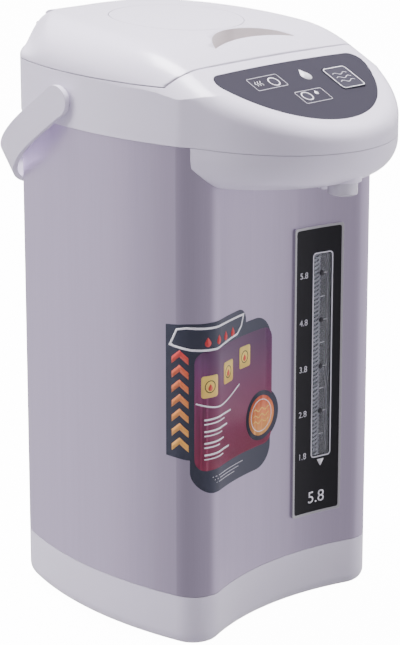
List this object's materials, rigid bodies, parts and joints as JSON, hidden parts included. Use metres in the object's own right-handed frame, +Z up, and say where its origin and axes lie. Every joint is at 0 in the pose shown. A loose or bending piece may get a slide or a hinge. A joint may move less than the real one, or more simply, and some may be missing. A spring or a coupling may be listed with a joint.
{
  "type": "electric thermo pot",
  "caption": "Upright electric water boiler with a steel body, beaked dispensing head, hinged lid with a hand pump plate, water gauge, swing handle and swivel base.",
  "frame": {"origin": "on the floor under the middle of the overall footprint, handle hanging at the back included", "axes": "+Z up, -Y out of the spout side (front), +X to the viewer's right when facing the spout side"},
  "size_m": [0.215, 0.3102, 0.4379],
  "materials": {
    "white_abs": "smooth moulded, faint lilac white",
    "handle_abs": "smooth moulded",
    "dark_panel": "satin dark grey film",
    "button": "soft-touch dark grey",
    "gauge_black": "gloss black with light scale",
    "gauge_rim": "bright trim",
    "clear": "clear plastic",
    "steel": "brushed along its height",
    "tank_steel": "bright drawn steel",
    "label": "printed sheet",
    "nozzle_plastic": "milky plastic",
    "inner_plastic": "plain moulded",
    "aluminium": "cast",
    "silicone": "soft translucent",
    "rubber": "matt",
    "screw_steel": "plated",
    "pin_brass": "plain",
    "amber": "clear red-orange lens",
    "board_green": "laminate"
  },
  "bodies": {
    "turntable": {"foot_pads": "rubber", "turntable": "inner_plastic", "swivel_washer": "inner_plastic"},
    "pot": {"base_plate": "inner_plastic", "base_ring": "white_abs", "base_screws": "screw_steel", "beak_cover": "white_abs", "boil_lamp": "amber", "control_board": "board_green", "control_panel": "dark_panel", "gauge_frame": "gauge_rim", "gauge_panel": "gauge_black", "gauge_window": "clear", "handle_pins": "white_abs", "head": "white_abs", "heater_plate": "aluminium", "hinge_block": "white_abs", "hinge_pin": "screw_steel", "inlet_hose": "silicone", "inlet_pins": "pin_brass", "inner_tank": "tank_steel", "label_sheet": "label", "level_tube": "clear", "lower_hose": "silicone", "nozzle": "nozzle_plastic", "power_inlet": "rubber", "pump_housing": "inner_plastic", "pump_motor": "screw_steel", "steel_shell": "steel", "thermostat": "inner_plastic", "upper_hose": "silicone", "warm_lamp": "amber"},
    "lid": {"lid_shell": "white_abs", "lid_liner": "inner_plastic", "lid_screws": "screw_steel", "lid_seal": "silicone", "inner_lid": "inner_plastic", "vent_plate": "tank_steel", "pump_sleeve": "inner_plastic"},
    "press_plate": {"press_plate": "white_abs"},
    "lid_latch": {"lid_latch": "white_abs"},
    "handle": {"handle": "handle_abs"},
    "dispense_button": {"dispense_button": "button"},
    "cup_lever": {"cup_lever": "white_abs"},
    "impeller": {"impeller": "inner_plastic"}
  },
  "joints": [
    {"name": "swivel", "type": "hinge", "parent": "turntable", "child": "pot", "pos_m": [0, 0.02448, 0], "axis": [0, 0, 1], "continuous": true},
    {"name": "lid_hinge", "type": "hinge", "parent": "pot", "child": "lid", "pos_m": [0, 0.12498, 0.4245], "axis": [-1, 0, 0], "range_deg": [0, 80]},
    {"name": "pump_plate_press", "type": "slide", "parent": "lid", "child": "press_plate", "axis": [0, 0, -1], "range_m": [0, 0.008], "stiffness_N_per_m": 500},
    {"name": "latch_slide", "type": "slide", "parent": "lid", "child": "lid_latch", "axis": [0, 1, 0], "range_m": [0, 0.004], "stiffness_N_per_m": 300},
    {"name": "handle_swing", "type": "hinge", "parent": "pot", "child": "handle", "pos_m": [0, 0.04218, 0.3844], "axis": [1, 0, 0], "range_deg": [0, 135]},
    {"name": "dispense_press", "type": "slide", "parent": "pot", "child": "dispense_button", "axis": [0, 0.454, -0.891], "range_m": [0, 0.0012], "stiffness_N_per_m": 800},
    {"name": "cup_lever_swing", "type": "hinge", "parent": "pot", "child": "cup_lever", "pos_m": [0, -0.11702, 0.346], "axis": [1, 0, 0], "range_deg": [0, 12], "stiffness_Nm_per_rad": 0.05},
    {"name": "impeller_spin", "type": "hinge", "parent": "pot", "child": "impeller", "pos_m": [0.04, -0.02552, 0.022], "axis": [0, 0, 1], "continuous": true}
  ]
}
